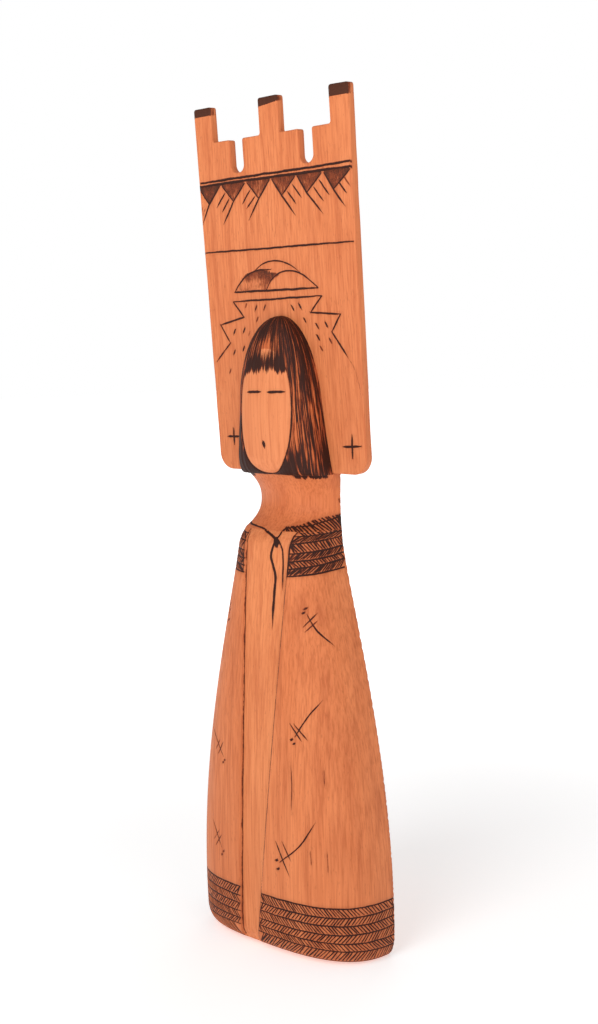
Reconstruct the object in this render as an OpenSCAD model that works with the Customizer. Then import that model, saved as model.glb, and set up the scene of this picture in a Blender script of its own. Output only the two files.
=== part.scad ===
// Carved standing maiden with a stepped headboard.
// The face looks along -Y, the flat back faces +Y and the base rests on Z = 0.
// The origin is under the middle of the figure.

/* [Figure] */
// Overall height, base to the tips of the headboard
figure_h = 309; // [285:1:335]
// Width of the robe at the hem
hem_w = 83; // [74:1:96]
// Depth of the body, flat back to the front of the robe
body_d = 29.5; // [27:0.5:36]
// Height of the shoulders, where the neck starts
shoulder_h = 155; // [140:1:165]
// Width across the shoulders
shoulder_w = 40; // [36:0.5:44]
// Depth at the shoulders
shoulder_d = 21.5; // [20:0.5:24]

/* [Robe] */
// Thickness of each robe half
robe_t = 4; // [3:0.25:4.5]
// How far the dress panel lies below the robe
panel_recess = 1; // [0.6:0.1:1.6]
// Dress panel, centre line to its left edge at the shoulders
panel_left = 9.6; // [8:0.1:11]
// Dress panel, centre line to its right edge at the shoulders
panel_right = 11.7; // [10:0.1:13]
// Inward rounding of the hem
hem_round = 3.5; // [2:0.25:5]
// Height of the hem's rounding
hem_round_h = 8; // [5:0.5:12]

// How far the tops of the robe round back towards the neck
shoulder_round = 4; // [2:0.25:5]
// Height of that rounding
shoulder_round_h = 6; // [4:0.5:9]

/* [Neck] */
// Height of the neck, shoulders to chin
neck_h = 20; // [18:0.5:24]
// Width of the neck at its waist
neck_w = 39; // [35:0.2:40]
// Depth of the neck at its waist
neck_d = 10.5; // [10:0.25:13]

/* [Head] */
// Height of the head, chin to crown
head_h = 57; // [50:1:64]
// Width of the hair at chin level
head_w = 40.8; // [38:0.2:44]
// Width of the hair's dome above the face
dome_w = 34.4; // [30:0.2:38]
// How far the head stands out from the headboard
head_d = 13.5; // [12:0.25:15]
// How far the chin stands out over the neck
chin_over = 1.2; // [0.8:0.1:2]
// Width of the oval face
face_w = 25; // [22:0.5:27]
// Height of the oval face
face_h = 44; // [40:1:46]
// Thickness of the face plaque at its middle
face_t = 3.4; // [2.8:0.1:4.5]

/* [Headboard] */
// Thickness of the board
board_t = 3.4; // [3:0.1:4]
// Width of the board at its lower corners
board_low_w = 73; // [70:0.5:78]
// Width of the board at the tips
board_top_w = 75.4; // [72:0.1:80]
// Forward lean of the board, in degrees
board_lean = 3.5; // [2:0.25:4]
// Radius of the board's lower corners
board_corner_r = 6.5; // [4:0.5:10]
// Width of the upper part of the middle tip
mid_tip_w = 9.8; // [8:0.2:12]
// Width of the lower part of the middle tip
mid_base_w = 27.6; // [24:0.2:30]
// Width of the upper part of each outer tip
side_tip_w = 9; // [7:0.2:11]
// Width of the lower part of each outer tip
side_base_w = 17.7; // [16:0.1:18.5]
// Height of the tips above their steps
tip_h = 12.8; // [10:0.2:15]
// Depth of the notches, tips to notch bottoms
notch_h = 25.1; // [22:0.2:28]
// Width of the tongue that runs down behind the neck
tongue_w = 18; // [16:0.5:20]
// Height of the tongue's lower end below the shoulders
tongue_drop = 14; // [10:0.5:18]

/* [Joints] */
// Glue gap between neighbouring pieces
glue_gap = 0.1; // [0.05:0.01:0.2]
// Diameter of the wooden pegs
peg_d = 4; // [3:0.25:4.5]
// Clearance around a peg in its hole
peg_fit = 0.05; // [0.03:0.01:0.1]

/* [Hidden] */

wood = [0.85, 0.52, 0.34];
dark_wood = [0.27, 0.16, 0.12];
peg_wood = [0.74, 0.50, 0.33];

// Roundness of the horizontal sections: 2 is an ellipse, more is squarer
body_power = 2.85;
neck_power = 1.6;
head_power = 3;
// Roundness of the crown seen from the side
crown_power = 2.4;
// Curve of the neck between shoulders and chin
neck_curve = 2.2;
// The flare of the robe: a soft start below the shoulders, then how fast it reaches the hem
flare_start = 0.05;
flare_rate = 1.155;
// The depth grows over this part of a turn, so that it is fullest above the hem
depth_turn = 120;
// Narrowing of the panel's left edge at mid height, and of its right edge at the hem
panel_waist = 2.8;
panel_taper = 13.1;
panel_taper_power = 1.9;

// Segments in the curves of a section, and in the heights
arc_steps = 14;
ridge_steps = 6;
body_levels = 22;
hem_levels = 5;
neck_levels = 12;
head_levels = 26;
face_levels = 22;

back_y = body_d / 2;
chin_z = shoulder_h + neck_h;
crown_z = chin_z + head_h;
waist_z = shoulder_h + neck_h / 2;
tongue_z = shoulder_h - tongue_drop;
// Heights along the leaning board, measured from the tongue's lower end
board_low = (chin_z + 2 * glue_gap + board_t * sin(board_lean) - tongue_z) / cos(board_lean);
board_top = (figure_h - tongue_z) / cos(board_lean);
// Height of the hair's dome, and how the hair widens below it
dome_h = head_h * 0.58;
flare_from = head_h * 0.5;
hair_flare_power = 1.3;
// The face sits this far above the lower edge of the hair
face_rim = 1.2;
face_z = chin_z + face_rim + face_h / 2;
peg_r = peg_d / 2;
peg_hole_r = peg_r + peg_fit;
// Depths of the peg holes in the pieces that they join
hair_peg_in = 5.5;
tongue_peg_in = 3.6;
robe_peg_out = 2.4;
robe_peg_in = 8;
peg_end_gap = 0.2;
// Places of the pegs, as shares of the head, of the neck and of the body
hair_peg_at = [0.24, 0.62];
neck_peg_at = 0.72;
robe_peg_at = [0.3, 0.68];
// How far the robe pegs lie in front of the flat back
robe_peg_front = 6;
// The face's oval is closed this far before its ends, where it has no width left
face_tip = 0.3;
cut_over = 1;
// Segments of the round holes, pegs and corners, and of the face's recess
round_steps = 48;
recess_steps = 72;

// Signed power, so that one formula serves both sides of a section
function signed_pow(v, p) = sign(v) * pow(abs(v), p);

// A point of a section: half width w, depth d and roundness p, behind it the plane y0
function section_pt(a, w, d, p, y0, z) =
    [w * signed_pow(cos(a), 2 / p), y0 - d * pow(sin(a), 2 / p), z];

// The angle at which a section reaches x
function angle_at(x, w, p) = acos(signed_pow(x / w, p / 2));

// Depth of a section at x
function depth_at(x, w, d, p) = d * pow(1 - pow(abs(x / w), p), 1 / p);

function arc(a0, a1, w, d, p, y0, z) =
    [for (i = [0 : arc_steps]) section_pt(a0 + (a1 - a0) * i / arc_steps, w, d, p, y0, z)];

// How far down from the shoulders: 0 there and 1 at the base
function fall(z) = (shoulder_h - z) / shoulder_h;
function flare(z) =
    sin(90 * flare_rate * (sqrt(pow(fall(z), 2) + pow(flare_start, 2)) - flare_start));
function hem_inset(z) =
    z >= hem_round_h ? 0 : hem_round * (1 - sqrt(1 - pow(1 - z / hem_round_h, 2)));
function robe_half_w(z) = (shoulder_w + (hem_w - shoulder_w) * flare(z)) / 2 - hem_inset(z);
function shoulder_inset(z) =
    shoulder_round * pow(max(0, 1 - (shoulder_h - z) / shoulder_round_h), 2);
function robe_depth(z) = shoulder_d + (body_d - shoulder_d) * sin(depth_turn * fall(z))
    - hem_inset(z) - shoulder_inset(z);
function panel_left_x(z) = -panel_left + panel_waist * sin(180 * fall(z));
function panel_right_x(z) = panel_right - panel_taper * pow(fall(z), panel_taper_power);

// The neck curves in from both ends: 0 at its waist and 1 at its ends
function neck_bend(z) = pow(abs(z - waist_z) / (neck_h / 2), neck_curve);
function neck_end_w(z) = z < waist_z ? shoulder_w : head_w - 1;
function neck_end_d(z) = z < waist_z
    ? robe_depth(shoulder_h) : board_front_depth(chin_z) + head_d - chin_over;
function neck_half_w(z) = (neck_w + (neck_end_w(z) - neck_w) * neck_bend(z)) / 2;
function neck_depth(z) = neck_d + (neck_end_d(z) - neck_d) * neck_bend(z);
function neck_round(z) = neck_power + (body_power - neck_power) * neck_bend(z);

// Depth of the board's front face, measured from the back of the body
function board_front_depth(z) = board_t / cos(board_lean) + (z - tongue_z) * tan(board_lean);
function hair_back_y(z) = back_y - board_front_depth(z) - glue_gap;

// The head, measured down from the crown
function hair_half_w(z) = let (m = crown_z - z)
    dome_w / 2 * sqrt(1 - pow(max(0, 1 - m / dome_h), 2)) + (head_w - dome_w) / 2
        * pow(max(0, m - flare_from) / (head_h - flare_from), hair_flare_power);
function hair_depth(z) = let (t = (crown_z - z) / head_h)
    head_d * pow(1 - pow(max(0, 1 - t), crown_power), 1 / crown_power);
function face_half_w(z, grow) = (face_w / 2 + grow)
    * sqrt(max(0, 1 - pow((z - face_z) / (face_h / 2 + grow), 2)));
// The floor of the face's recess is one upright plane
face_floor_y = hair_back_y(face_z) - hair_depth(face_z) + face_t;

function body_heights() = concat(
    [for (i = [0 : hem_levels - 1]) hem_round_h * (1 - cos(90 * i / hem_levels))],
    [for (i = [0 : body_levels]) hem_round_h + (shoulder_h - hem_round_h) * i / body_levels]);

// A closed solid through rings of points, from the lowest ring to the highest
module skin(rings) {
    count = len(rings[0]);
    last = len(rings) - 1;
    points = [for (ring = rings) each ring];
    sides = [for (i = [0 : last - 1], j = [0 : count - 1])
        let (a = i * count + j, b = i * count + (j + 1) % count)
        each [[a, a + count, b + count], [a, b + count, b]]];
    bottom = [for (j = [0 : count - 1]) j];
    top = [for (j = [count - 1 : -1 : 0]) last * count + j];
    polyhedron(points, concat([bottom], sides, [top]), convexity = 8);
}

function core_ring(z) =
    let (w = robe_half_w(z) - robe_t, d = robe_depth(z) - robe_t,
         x0 = panel_left_x(z), x1 = panel_right_x(z))
    concat(
        arc(180, angle_at(x0, w, body_power), w, d, body_power, back_y, z),
        [for (i = [0 : ridge_steps])
            let (x = x0 + (x1 - x0) * i / ridge_steps)
            [x, back_y + panel_recess
                - depth_at(x, robe_half_w(z), robe_depth(z), body_power), z]],
        arc(angle_at(x1, w, body_power), 0, w, d, body_power, back_y, z));

// side is -1 for the left half and 1 for the right one
function robe_ring(z, side) =
    let (w = robe_half_w(z), d = robe_depth(z),
         w_in = w - robe_t + glue_gap, d_in = d - robe_t + glue_gap,
         edge = side < 0 ? panel_left_x(z) - glue_gap : panel_right_x(z) + glue_gap,
         end = side < 0 ? 180 : 0)
    side < 0
        ? concat(arc(end, angle_at(edge, w, body_power), w, d, body_power, back_y, z),
                 arc(angle_at(edge, w_in, body_power), end, w_in, d_in, body_power, back_y, z))
        : concat(arc(angle_at(edge, w, body_power), end, w, d, body_power, back_y, z),
                 arc(end, angle_at(edge, w_in, body_power), w_in, d_in, body_power, back_y, z));

function neck_ring(z) =
    arc(180, 0, neck_half_w(z), neck_depth(z), neck_round(z), back_y, z);

function hair_ring(z) =
    arc(180, 0, hair_half_w(z), hair_depth(z), head_power, hair_back_y(z), z);

function face_ring(z) =
    let (e = face_half_w(z, -glue_gap), y0 = hair_back_y(z))
    concat(
        [for (i = [0 : arc_steps])
            let (x = -e + 2 * e * i / arc_steps)
            [x, y0 - depth_at(x, hair_half_w(z), hair_depth(z), head_power), z]],
        [[e, face_floor_y - glue_gap, z], [-e, face_floor_y - glue_gap, z]]);

// Puts an outline drawn in board coordinates on the leaning board, growing forwards
module on_board(from, to) {
    translate([0, back_y, tongue_z])
        rotate([90 + board_lean, 0, 0])
            translate([0, 0, from])
                linear_extrude(to - from) children();
}

module board_peg(height, reach, radius) {
    translate([0, back_y, tongue_z])
        rotate([90 + board_lean, 0, 0])
            translate([0, height, 0])
                cylinder(h = reach, r = radius, $fn = round_steps);
}

// The slot for the tongue in the backs of the neck and the core
module tongue_slot() {
    on_board(-board_t, board_t + glue_gap)
        translate([-tongue_w / 2 - glue_gap, -glue_gap])
            square([tongue_w + 2 * glue_gap, board_top]);
}

hair_peg_heights = [for (share = hair_peg_at) board_low + head_h * share];
tongue_peg_heights = [tongue_drop / 2, tongue_drop + neck_h * neck_peg_at];
robe_peg_heights = [for (share = robe_peg_at) shoulder_h * share];
robe_peg_y = back_y - robe_peg_front;

module robe_peg_places() {
    for (z = robe_peg_heights, side = [-1, 1])
        translate([side * (robe_half_w(z) - robe_t), robe_peg_y, z])
            rotate([0, side * 90, 0])
                children();
}

module dress_core() {
    color(wood)
        difference() {
            skin([for (z = body_heights()) core_ring(z)]);
            tongue_slot();
            board_peg(tongue_peg_heights[0], board_t + tongue_peg_in + peg_end_gap, peg_hole_r);
            robe_peg_places()
                translate([0, 0, -robe_peg_in - peg_end_gap])
                    cylinder(h = robe_peg_in + cut_over + peg_end_gap, r = peg_hole_r, $fn = round_steps);
        }
}

module robe_half(side) {
    color(wood)
        difference() {
            skin([for (z = body_heights()) robe_ring(z, side)]);
            robe_peg_places()
                translate([0, 0, -cut_over])
                    cylinder(h = robe_peg_out + cut_over + peg_end_gap, r = peg_hole_r, $fn = round_steps);
        }
}

module neck() {
    heights = [for (i = [0 : neck_levels])
        shoulder_h + glue_gap + (neck_h - glue_gap) * i / neck_levels];
    color(wood)
        difference() {
            skin([for (z = heights) neck_ring(z)]);
            tongue_slot();
            board_peg(tongue_peg_heights[1], board_t + tongue_peg_in + peg_end_gap, peg_hole_r);
        }
}

module hair() {
    // The levels close up towards the crown, where the dome is roundest
    heights = [for (i = [0 : head_levels])
        chin_z + glue_gap + (head_h - 2 * glue_gap) * sin(90 * i / head_levels)];
    color(dark_wood)
        difference() {
            skin([for (z = heights) hair_ring(z)]);
            translate([0, face_floor_y, face_z])
                rotate([90, 0, 0])
                    linear_extrude(2 * head_d)
                        polygon([for (i = [0 : recess_steps - 1])
                            let (a = 360 * i / recess_steps)
                            [face_w / 2 * cos(a), face_h / 2 * sin(a)]]);
            for (height = hair_peg_heights)
                board_peg(height, board_t + hair_peg_in + peg_end_gap, peg_hole_r);
        }
}

module face() {
    // The levels close up towards both ends of the oval
    heights = [for (i = [0 : face_levels])
        face_z - (face_h / 2 - face_tip) * cos(180 * i / face_levels)];
    color(wood)
        skin([for (z = heights) face_ring(z)]);
}

module board_outline() {
    notch_w = (board_top_w - mid_base_w) / 2 - side_base_w;
    notch_x = (mid_base_w + notch_w) / 2;
    notch_r = notch_w / 2;
    gap_in = mid_tip_w / 2;
    gap_out = board_top_w / 2 - side_tip_w;
    difference() {
        polygon([[-board_low_w / 2, board_low], [board_low_w / 2, board_low],
                 [board_top_w / 2, board_top], [-board_top_w / 2, board_top]]);
        for (side = [-1, 1]) {
            translate([side * (gap_in + gap_out) / 2, board_top + cut_over])
                square([gap_out - gap_in, 2 * (tip_h + cut_over)], center = true);
            translate([side * notch_x, board_top])
                square([notch_w, 2 * (notch_h - notch_r)], center = true);
            translate([side * notch_x, board_top - notch_h + notch_r])
                circle(r = notch_r, $fn = round_steps);
            translate([side * board_low_w / 2, board_low])
                difference() {
                    square(2 * board_corner_r, center = true);
                    translate([-side * board_corner_r, board_corner_r])
                        circle(r = board_corner_r, $fn = round_steps);
                }
        }
    }
    translate([-tongue_w / 2, 0])
        square([tongue_w, board_low + cut_over]);
}

module tablita() {
    color(wood)
        difference() {
            on_board(0, board_t) board_outline();
            for (height = concat(hair_peg_heights, tongue_peg_heights))
                translate([0, cut_over / 2, 0])
                    board_peg(height, board_t + cut_over, peg_hole_r);
        }
}

module hair_pegs() {
    color(peg_wood)
        for (height = hair_peg_heights)
            board_peg(height, board_t + hair_peg_in, peg_r);
}

module tongue_pegs() {
    color(peg_wood)
        for (height = tongue_peg_heights)
            board_peg(height, board_t + tongue_peg_in, peg_r);
}

module robe_pegs() {
    color(peg_wood)
        robe_peg_places()
            translate([0, 0, -robe_peg_in])
                cylinder(h = robe_peg_in + robe_peg_out, r = peg_r, $fn = round_steps);
}

dress_core();
robe_half(-1);  // robe_left
robe_half(1);  // robe_right
neck();
hair();
face();
tablita();
hair_pegs();
tongue_pegs();
robe_pegs();
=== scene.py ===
import bpy, bmesh, math, random
import numpy as np
from mathutils import Matrix, Vector
from mathutils.geometry import delaunay_2d_cdt
from mathutils.kdtree import KDTree


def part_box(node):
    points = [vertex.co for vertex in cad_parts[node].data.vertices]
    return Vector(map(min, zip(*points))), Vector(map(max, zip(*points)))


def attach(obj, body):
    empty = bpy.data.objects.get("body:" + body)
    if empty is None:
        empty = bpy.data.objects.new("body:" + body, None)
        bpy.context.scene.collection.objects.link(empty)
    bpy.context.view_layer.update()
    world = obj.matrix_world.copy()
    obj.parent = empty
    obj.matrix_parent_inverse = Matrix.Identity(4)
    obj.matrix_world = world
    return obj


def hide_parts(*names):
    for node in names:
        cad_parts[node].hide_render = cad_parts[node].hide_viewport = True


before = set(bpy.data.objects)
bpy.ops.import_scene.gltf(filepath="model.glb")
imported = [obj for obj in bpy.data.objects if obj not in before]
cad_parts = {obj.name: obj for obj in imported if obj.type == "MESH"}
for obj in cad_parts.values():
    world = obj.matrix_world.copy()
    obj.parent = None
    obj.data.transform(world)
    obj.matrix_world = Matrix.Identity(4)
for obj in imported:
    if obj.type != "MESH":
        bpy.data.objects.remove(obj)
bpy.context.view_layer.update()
mm = 0.001

# the figure's sizes in millimetres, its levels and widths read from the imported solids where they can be
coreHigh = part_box("dress_core")[1]
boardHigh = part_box("tablita")[1]
hairLow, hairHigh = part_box("hair")
figure = {
    "backY": coreHigh.y / mm,
    "shoulderZ": coreHigh.z / mm,
    "chinZ": hairLow.z / mm,
    "crownZ": hairHigh.z / mm,
    "topZ": boardHigh.z / mm,
    "hemHalf": 41.5, "shoulderHalf": 20.0, "flare": 1.155, "flareSoft": 0.05,
    "bodyDepth": 29.5, "shoulderDepth": 21.5, "swell": math.radians(120), "bodyPower": 2.85,
    "shoulderRound": 4.0, "shoulderRoundH": 6.0,
    "hemRound": 3.5, "hemRoundH": 8.0, "hemLift": 2.6, "hemLiftH": 16.0,
    "robeT": 4.0, "panelRecess": 1.0,
    "panelLeft": -9.6, "panelBow": 2.8, "panelRight": 11.7, "panelSweep": 13.1, "sweepPower": 1.9,
    "headHalf": hairHigh.x / mm, "domeHalf": 17.2, "headDepth": 13.5, "headPower": 3.0,
    "domeShare": 0.58, "lowShare": 0.5, "lowPower": 1.3, "crownPower": 2.4,
    "neckHalf": 19.5, "neckDepth": 10.5, "neckPower": 1.6, "neckCurve": 2.2, "chinOver": 4.5,
    "boardT": 3.4, "lean": math.radians(3.5), "tongueDrop": 14.0, "tongueHalf": 9.0,
    "slack": 0.1,  # glue gap round the tongue
}
f = figure  # short name, read all through the file
tongueZ = f["shoulderZ"] - f["tongueDrop"]
headH = f["crownZ"] - f["chinZ"]
neckH = f["chinZ"] - f["shoulderZ"]
waistZ = f["shoulderZ"] + neckH / 2


def fall(z):
    return (f["shoulderZ"] - z) / f["shoulderZ"]


def hemInset(z):
    t = np.clip(1 - z / f["hemRoundH"], 0, 1)
    return f["hemRound"] * (1 - np.sqrt(1 - t * t))


def robeHalf(z):
    soft = f["flareSoft"]
    flare = np.sin(math.pi / 2 * f["flare"] * (np.sqrt(fall(z) ** 2 + soft ** 2) - soft))
    return f["shoulderHalf"] + (f["hemHalf"] - f["shoulderHalf"]) * flare - hemInset(z)


def robeDepth(z):
    swell = np.sin(f["swell"] * fall(z))
    top = f["shoulderRound"] * np.clip(1 - (f["shoulderZ"] - z) / f["shoulderRoundH"], 0, 1) ** 2
    return f["shoulderDepth"] + (f["bodyDepth"] - f["shoulderDepth"]) * swell - hemInset(z) - top


def panelLeft(z):
    return f["panelLeft"] + f["panelBow"] * np.sin(math.pi * fall(z))


def panelRight(z):
    return f["panelRight"] - f["panelSweep"] * np.clip(fall(z), 0, 1) ** f["sweepPower"]


def boardFront(z):
    return f["boardT"] / math.cos(f["lean"]) + (z - tongueZ) * math.tan(f["lean"])


def neckBend(z):
    return np.abs((z - waistZ) / (neckH / 2)) ** f["neckCurve"]


def neckHalf(z):
    end = np.where(z < waistZ, f["shoulderHalf"], f["headHalf"] - 0.5)
    return f["neckHalf"] + (end - f["neckHalf"]) * neckBend(z)


def neckDepth(z):
    low = robeDepth(f["shoulderZ"])
    high = boardFront(f["chinZ"]) + f["headDepth"] - f["chinOver"]
    end = np.where(z < waistZ, low, high)
    return f["neckDepth"] + (end - f["neckDepth"]) * neckBend(z)


def neckPower(z):
    return f["neckPower"] + (f["bodyPower"] - f["neckPower"]) * neckBend(z)


def hairHalf(z):
    m = f["crownZ"] - z
    dome = np.sqrt(1 - np.clip(1 - m / (headH * f["domeShare"]), 0, 1) ** 2)
    low = np.clip(m - headH * f["lowShare"], 0, None) / (headH * f["lowShare"])
    return f["domeHalf"] * dome + (f["headHalf"] - f["domeHalf"]) * low ** f["lowPower"]


def hairDepth(z):
    t = np.clip(1 - (f["crownZ"] - z) / headH, 0, 1)
    return f["headDepth"] * (1 - t ** f["crownPower"]) ** (1 / f["crownPower"])


# a value that goes smoothly from 0 at low to 1 at high, or the other way when low is the larger
def smooth01(v, low, high):
    t = np.clip((v - low) / (high - low), 0, 1)
    return t * t * (3 - 2 * t)


arcSteps, columns = 601, 401  # points round a level cut, then evenly spaced across it


# the front of a piece whose level cuts are superellipses on a back plane, unrolled to u across and q up
class CarvedFront:
    def __init__(self, levels, half, depth, power, backY, edgeR=0.0):
        self.z = np.asarray(levels, float)
        self.edgeR = edgeR
        w = np.maximum(half(self.z), 1e-4)
        d = np.maximum(depth(self.z), 1e-4)
        p = np.broadcast_to(power(self.z), self.z.shape)
        back = np.broadcast_to(backY(self.z), self.z.shape)
        a = np.linspace(math.pi, 0, arcSteps)
        c, s = np.cos(a), np.clip(np.sin(a), 0, 1)
        ex = (2 / p)[:, None]
        x = w[:, None] * np.sign(c) * np.abs(c) ** ex
        y = back[:, None] - d[:, None] * s ** ex
        run = np.hypot(np.diff(x, axis=1), np.diff(y, axis=1))
        arc = np.concatenate([np.zeros((len(self.z), 1)), np.cumsum(run, axis=1)], axis=1)
        self.plain = arc[:, -1] / 2
        self.sigma = np.linspace(-1, 1, columns)
        self.x, self.y = (np.array([np.interp(self.sigma * h + h, run, row)
                                    for h, run, row in zip(self.plain, arc, table)]) for table in (x, y))
        self.w, self.back = w, back
        mid = back - d
        self.q = np.concatenate([[0], np.cumsum(np.hypot(np.diff(self.z), np.diff(mid)))])
        self.half = self.plain + (math.pi / 2 - 1) * edgeR

    def qAt(self, z):
        return np.interp(z, self.z, self.q)

    def zAt(self, q):
        return np.interp(q, self.q, self.z)

    def halfAt(self, q):
        return np.interp(q, self.q, self.half)

    def uAt(self, x, z):
        q = self.qAt(z)
        i = int(np.clip(np.searchsorted(self.z, z), 0, len(self.z) - 1))
        return float(np.interp(x, self.x[i], self.sigma * self.plain[i])), float(q)

    def places(self, points):
        return [self.uAt(x, z) for x, z in points]

    def lift(self, uq):
        u, q = uq[:, 0], uq[:, 1]
        row = np.interp(q, self.q, np.arange(len(self.q)))
        i = np.clip(row.astype(int), 0, len(self.q) - 2)
        t = row - i

        def between(row):
            return row[i] * (1 - t) + row[i + 1] * t
        half, plain = between(self.half), between(self.plain)
        r = self.edgeR
        e = half - np.abs(u)
        turn = r * math.pi / 2
        inner = np.sign(u) * (plain - np.maximum(e - turn + r, 0))
        sig = np.clip(inner / np.maximum(plain, 1e-6), -1, 1)
        col = (sig + 1) * ((columns - 1) / 2)
        j = np.clip(col.astype(int), 0, columns - 2)
        k = col - j

        def sample(table):
            low = table[i, j] * (1 - k) + table[i, j + 1] * k
            high = table[i + 1, j] * (1 - k) + table[i + 1, j + 1] * k
            return low * (1 - t) + high * t
        x, y = sample(self.x), sample(self.y)
        if r > 0:
            w, back = between(self.w), between(self.back)
            near = e < turn
            ang = np.clip(e, 0, turn) / r
            x = np.where(near, np.sign(u) * (w - r + r * np.sin(ang)), x)
            y = np.where(near, back - r + r * np.cos(ang), y)
        z = np.interp(q, self.q, self.z)
        return np.stack([x, y, z], axis=1)


# burnt strokes, which also draw the painted shade lines along the dress panel's step: a line, its width and how
# hard it was pressed
def smoothLine(points, curved, step=0.4):
    pts = np.asarray(points, float)
    if curved and len(pts) > 2:
        p = np.vstack([2 * pts[0] - pts[1], pts, 2 * pts[-1] - pts[-2]])
        out = []
        for i in range(1, len(p) - 2):
            for t in np.linspace(0, 1, 12, endpoint=False):
                out.append(0.5 * (2 * p[i] + (p[i + 1] - p[i - 1]) * t
                           + (2 * p[i - 1] - 5 * p[i] + 4 * p[i + 1] - p[i + 2]) * t * t
                           + (3 * p[i] - p[i - 1] - 3 * p[i + 1] + p[i + 2]) * t ** 3))
        pts = np.vstack(out + [p[-2]])
    run = np.concatenate([[0], np.cumsum(np.hypot(*np.diff(pts, axis=0).T))])
    n = max(2, int(round(run[-1] / step)) + 1)
    s = np.linspace(0, run[-1], n)
    return np.stack([np.interp(s, run, pts[:, 0]), np.interp(s, run, pts[:, 1])], axis=1)


def stroke(rnd, points, width=0.6, press=0.9, ends=(0.35, 0.35), swell=0.0, curved=False, wobble=0.07,
           halo=0.3):
    line = smoothLine(points, curved)
    n = len(line)
    t = np.linspace(0, 1, n)
    step = np.diff(line, axis=0)
    step = np.vstack([step, step[-1:]])
    side = np.stack([-step[:, 1], step[:, 0]], axis=1)
    side /= np.maximum(np.hypot(*side.T), 1e-6)[:, None]
    drift = np.convolve([rnd.uniform(-1, 1) for _ in range(n + 8)], np.ones(9) / 9, "valid")
    line = line + side * (drift * wobble * 2.5)[:, None]
    shape = np.minimum(1, ends[0] + (1 - ends[0]) * np.clip(t / 0.18, 0, 1))
    shape = np.minimum(shape, ends[1] + (1 - ends[1]) * np.clip((1 - t) / 0.22, 0, 1))
    shape = shape * (1 - swell + swell * np.sin(math.pi * t))
    grain = np.convolve([rnd.uniform(-1, 1) for _ in range(n + 4)], np.ones(5) / 5, "valid")
    half = np.maximum(width / 2 * shape * (1 + 0.22 * grain), 0.05)
    hard = press * (0.55 + 0.45 * shape) * (1 + 0.18 * grain)
    return {"line": line, "side": side, "half": half, "press": np.clip(hard, 0, 1), "halo": halo}


edge = 0.2  # how softly a burnt line ends, across


def strokePoints(strokes):
    out = []
    for s in strokes:
        outer = (s["half"] + edge / 2)[:, None]
        inner = np.maximum(s["half"] - edge / 2, 0)[:, None]
        out += [s["line"] + s["side"] * outer, s["line"] - s["side"] * outer]
        if float(inner.max()) > 0.06:
            out += [s["line"] + s["side"] * inner, s["line"] - s["side"] * inner]
        else:
            out.append(s["line"])
    return np.vstack(out) if out else np.zeros((0, 2))


def burnField(uq, strokes):
    burn, scorch = np.zeros(len(uq)), np.zeros(len(uq))
    order = np.argsort(uq[:, 1])
    ys = uq[order, 1]
    for s in strokes:
        line, reach = s["line"], float(s["half"].max()) + 1.4
        lo, hi = line.min(0) - reach, line.max(0) + reach
        pick = order[np.searchsorted(ys, lo[1]):np.searchsorted(ys, hi[1])]
        pick = pick[(uq[pick, 0] > lo[0]) & (uq[pick, 0] < hi[0])]
        if not len(pick):
            continue
        p = uq[pick][:, None, :]
        a, d = line[:-1][None], np.diff(line, axis=0)[None]
        t = np.clip(((p - a) * d).sum(2) / np.maximum((d * d).sum(2), 1e-9), 0, 1)
        dist = np.hypot(*np.moveaxis(a + d * t[:, :, None] - p, 2, 0))
        k = dist.argmin(1)
        rows = np.arange(len(pick))
        t, dist = t[rows, k], dist[rows, k]
        half = s["half"][k] * (1 - t) + s["half"][k + 1] * t
        press = s["press"][k] * (1 - t) + s["press"][k + 1] * t
        b = np.clip((half + edge / 2 - dist) / edge, 0, 1) * press
        burn[pick] = np.maximum(burn[pick], b)
        glow = press * s["halo"] * np.exp(-np.maximum(dist - half, 0) / 0.45)
        scorch[pick] = 1 - (1 - scorch[pick]) * (1 - glow)
    return burn, scorch


# which points lie inside a closed outline, and how far they are from it
def within(points, outline):
    inside = np.zeros(len(points), bool)
    gap = np.full(len(points), 1e9)
    for p, r in zip(outline, np.roll(outline, -1, axis=0)):
        cross = (p[1] > points[:, 1]) != (r[1] > points[:, 1])
        if p[1] != r[1]:
            inside ^= cross & (points[:, 0] < (r[0] - p[0]) * (points[:, 1] - p[1]) / (r[1] - p[1]) + p[0])
        d = r - p
        t = np.clip(((points - p) @ d) / max(d @ d, 1e-12), 0, 1)
        gap = np.minimum(gap, np.hypot(*(p + d * t[:, None] - points).T))
    return inside, gap


# the worn front edge of the base stands a little clear of the ground
def hemLifted(p):
    near = np.clip((f["backY"] - p[:, 1]) / f["bodyDepth"], 0, 1) ** 1.5
    p[:, 2] += f["hemLift"] * near * np.clip(1 - p[:, 2] / f["hemLiftH"], 0, 1) ** 2
    return p


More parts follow.
